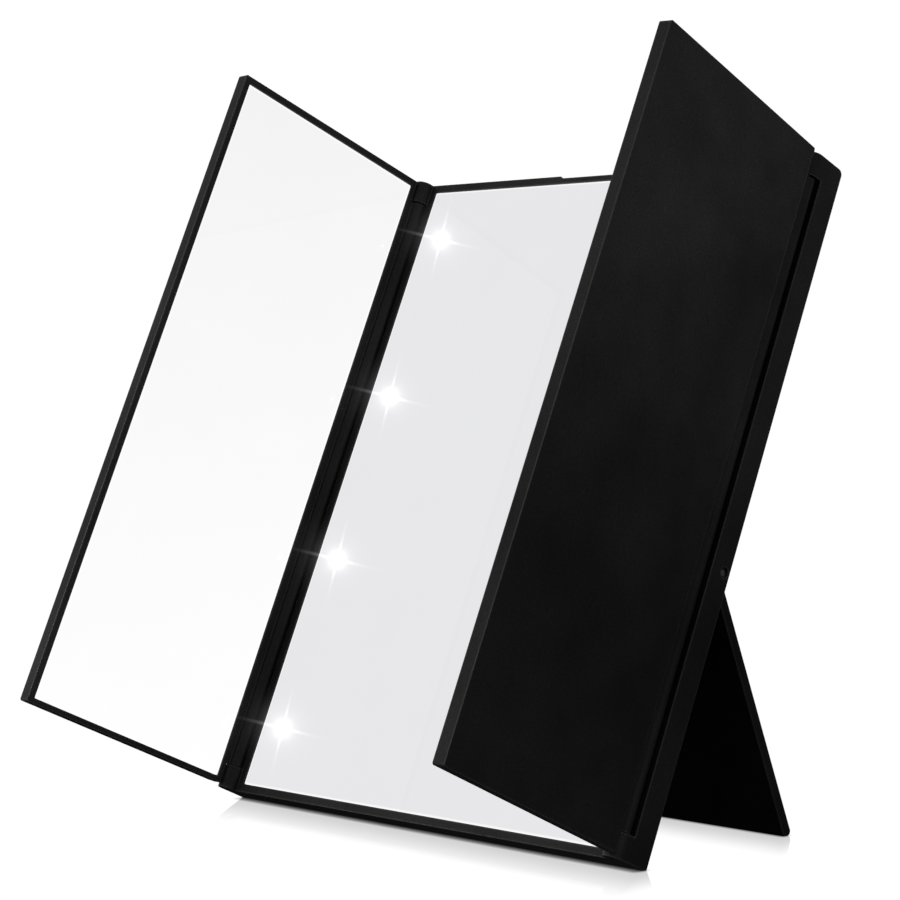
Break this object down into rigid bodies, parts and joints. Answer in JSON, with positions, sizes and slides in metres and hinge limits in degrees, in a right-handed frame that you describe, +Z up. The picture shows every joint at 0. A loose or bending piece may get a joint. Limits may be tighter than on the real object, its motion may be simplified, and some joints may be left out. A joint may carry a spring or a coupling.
{
  "type": "lighted vanity mirror",
  "caption": "Slim folding vanity mirror: framed centre mirror with a row of lights down each side, two hinged mirror wings and a flat flip-out stand on the back.",
  "frame": {"origin": "on the floor, in the middle of the flat at the body's bottom back edge that the mirror stands on, with the stand out", "axes": "+Z up, +X to the viewer's right when looking into the mirror, +Y from the viewer towards the back of the mirror"},
  "size_m": [0.1662, 0.1567, 0.211],
  "materials": {
    "black_plastic": "satin black moulded plastic",
    "dark_plastic": "satin black moulded plastic",
    "knob_plastic": "satin black moulded plastic",
    "mirror_glass": "silvered on the back",
    "tape": "double-sided adhesive film",
    "circuit_board": "white solder mask",
    "led": "white light-emitting diodes",
    "resistor": "chip resistors",
    "holder_plastic": "moulded",
    "cell_steel": "nickel-plated steel can",
    "contact_brass": "plated spring brass",
    "pin_steel": "plain steel wire pin",
    "screw_steel": "zinc-plated steel",
    "switch_steel": "tinned steel case",
    "red_wire": "insulation",
    "black_wire": "insulation"
  },
  "bodies": {
    "body": {"front_frame": "black_plastic", "back_cover": "black_plastic", "centre_mirror": "mirror_glass", "centre_mirror_tape": "tape", "left_led_board": "circuit_board", "right_led_board": "circuit_board", "left_leds": "led", "right_leds": "led", "led_resistors": "resistor", "battery_holder": "holder_plastic", "coin_cells": "cell_steel", "plus_contact": "contact_brass", "minus_contact": "contact_brass", "series_link": "contact_brass", "battery_door": "black_plastic", "battery_door_screw": "screw_steel", "cover_screws": "screw_steel", "switch_body": "switch_steel", "switch_terminals": "contact_brass", "red_wires": "red_wire", "black_wires": "black_wire"},
    "left_wing": {"left_wing_shell": "black_plastic", "left_wing_mirror": "mirror_glass", "left_wing_tape": "tape", "left_hinge_pins": "pin_steel"},
    "right_wing": {"right_wing_shell": "black_plastic", "right_wing_mirror": "mirror_glass", "right_wing_tape": "tape", "right_hinge_pins": "pin_steel"},
    "stand": {"stand_plate": "dark_plastic", "stand_pins": "pin_steel"},
    "switch_slider": {"switch_knob": "knob_plastic"}
  },
  "joints": [
    {"name": "left_wing_hinge", "type": "hinge", "parent": "body", "child": "left_wing", "pos_m": [-0.0745, 0.03277, 0.09204], "axis": [0, -0.4226, -0.9063], "range_deg": [-94.2, 85.8]},
    {"name": "right_wing_hinge", "type": "hinge", "parent": "body", "child": "right_wing", "pos_m": [0.0745, 0.03277, 0.09204], "axis": [0, 0.4226, 0.9063], "range_deg": [-93.4, 86.6]},
    {"name": "stand_hinge", "type": "hinge", "parent": "body", "child": "stand", "pos_m": [0, 0.0317, 0.07201], "axis": [1, 0, 0], "range_deg": [-46.7, 0]},
    {"name": "switch_slide", "type": "slide", "parent": "body", "child": "switch_slider", "axis": [1, 0, 0], "range_m": [-0.002, 0]}
  ]
}
